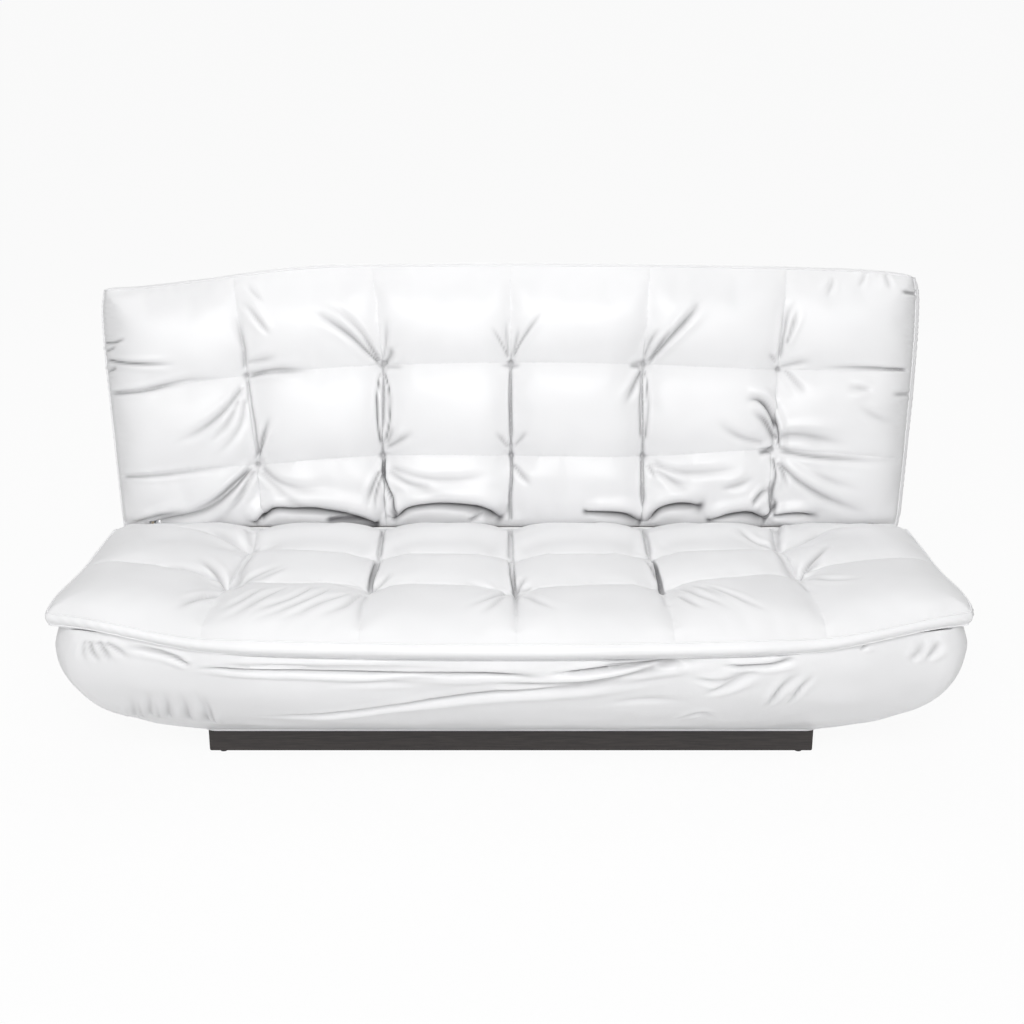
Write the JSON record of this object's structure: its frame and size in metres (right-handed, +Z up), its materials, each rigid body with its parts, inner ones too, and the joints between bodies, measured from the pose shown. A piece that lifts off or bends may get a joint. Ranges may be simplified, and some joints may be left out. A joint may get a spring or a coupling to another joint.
{
  "type": "click clack sofa bed",
  "caption": "Tufted click clack sofa bed whose back reclines flat on a toothed hinge and whose seat lifts to open a padded storage chest on a dark plinth.",
  "frame": {"origin": "on the floor, under the middle of the bounding box", "axes": "+X along the width, to the right as seen from the front; the front faces -Y; +Z up"},
  "size_m": [1.915, 0.9398, 0.9724],
  "materials": {
    "padding": "satin white PU leatherette over foam and fibre",
    "hull_padding": "satin white PU leatherette over foam",
    "plinth_foil": "dark grey-brown foiled board, satin",
    "nylon": "matt nylon",
    "chest_board": "raw board, matt",
    "rubber": "matt rubber",
    "beech": "laminated beech, satin",
    "coated_steel": "black powder coat",
    "zinc_steel": "zinc-plated steel",
    "nonwoven": "grey spunbond nonwoven"
  },
  "bodies": {
    "base": {"plinth_front": "plinth_foil", "plinth_rear": "plinth_foil", "plinth_end_left": "plinth_foil", "plinth_end_right": "plinth_foil", "glide_front_left": "nylon", "glide_front_right": "nylon", "glide_rear_left": "nylon", "glide_rear_right": "nylon", "chest_floor": "chest_board", "chest_front": "chest_board", "chest_end_left": "chest_board", "chest_end_right": "chest_board", "chest_rear": "chest_board", "hull_cover": "hull_padding", "hinge_bracket_left": "zinc_steel", "hinge_bracket_right": "zinc_steel", "hinge_pin_left": "zinc_steel", "hinge_pin_right": "zinc_steel", "pawl_pin_left": "zinc_steel", "pawl_pin_right": "zinc_steel", "seat_bumper_left": "rubber", "seat_bumper_right": "rubber", "back_bumper_left": "rubber", "back_bumper_right": "rubber"},
    "seat": {"seat_pad": "padding", "seat_rail_left": "coated_steel", "seat_rail_right": "coated_steel", "seat_rail_rear": "coated_steel", "seat_rail_front": "coated_steel", "seat_slat_1": "beech", "seat_slat_2": "beech", "seat_slat_3": "beech", "seat_slat_4": "beech", "seat_slat_5": "beech", "seat_slat_6": "beech", "seat_slat_7": "beech", "seat_slat_8": "beech", "seat_slat_9": "beech", "seat_arm_left": "zinc_steel", "seat_arm_right": "zinc_steel"},
    "back": {"back_pad": "padding", "back_rail_left": "coated_steel", "back_rail_right": "coated_steel", "back_rail_bottom": "coated_steel", "back_rail_top": "coated_steel", "back_slat_1": "beech", "back_slat_2": "beech", "back_slat_3": "beech", "back_slat_4": "beech", "back_slat_5": "beech", "back_slat_6": "beech", "back_slat_7": "beech", "back_slat_8": "beech", "back_slat_9": "beech", "back_arm_left": "zinc_steel", "back_arm_right": "zinc_steel", "back_dust_cover": "nonwoven"},
    "pawl_left": {"pawl_left": "zinc_steel"},
    "pawl_right": {"pawl_right": "zinc_steel"}
  },
  "joints": [
    {"name": "seat_lift", "type": "hinge", "parent": "base", "child": "seat", "pos_m": [0, 0.25505, 0.3652], "axis": [-1, 0, 0], "range_deg": [0, 40]},
    {"name": "back_recline", "type": "hinge", "parent": "base", "child": "back", "pos_m": [0, 0.25505, 0.3652], "axis": [-1, 0, 0], "range_deg": [0, 75.9]},
    {"name": "pawl_left_click", "type": "hinge", "parent": "base", "child": "pawl_left", "pos_m": [-0.8426, 0.20705, 0.3002], "axis": [1, 0, 0], "range_deg": [0, 9]},
    {"name": "pawl_right_click", "type": "hinge", "parent": "base", "child": "pawl_right", "pos_m": [0.8426, 0.20705, 0.3002], "axis": [1, 0, 0], "range_deg": [0, 9]}
  ],
  "couplings": [
    {"joint": "pawl_right_click", "follows": "pawl_left_click", "ratio": 1}
  ]
}
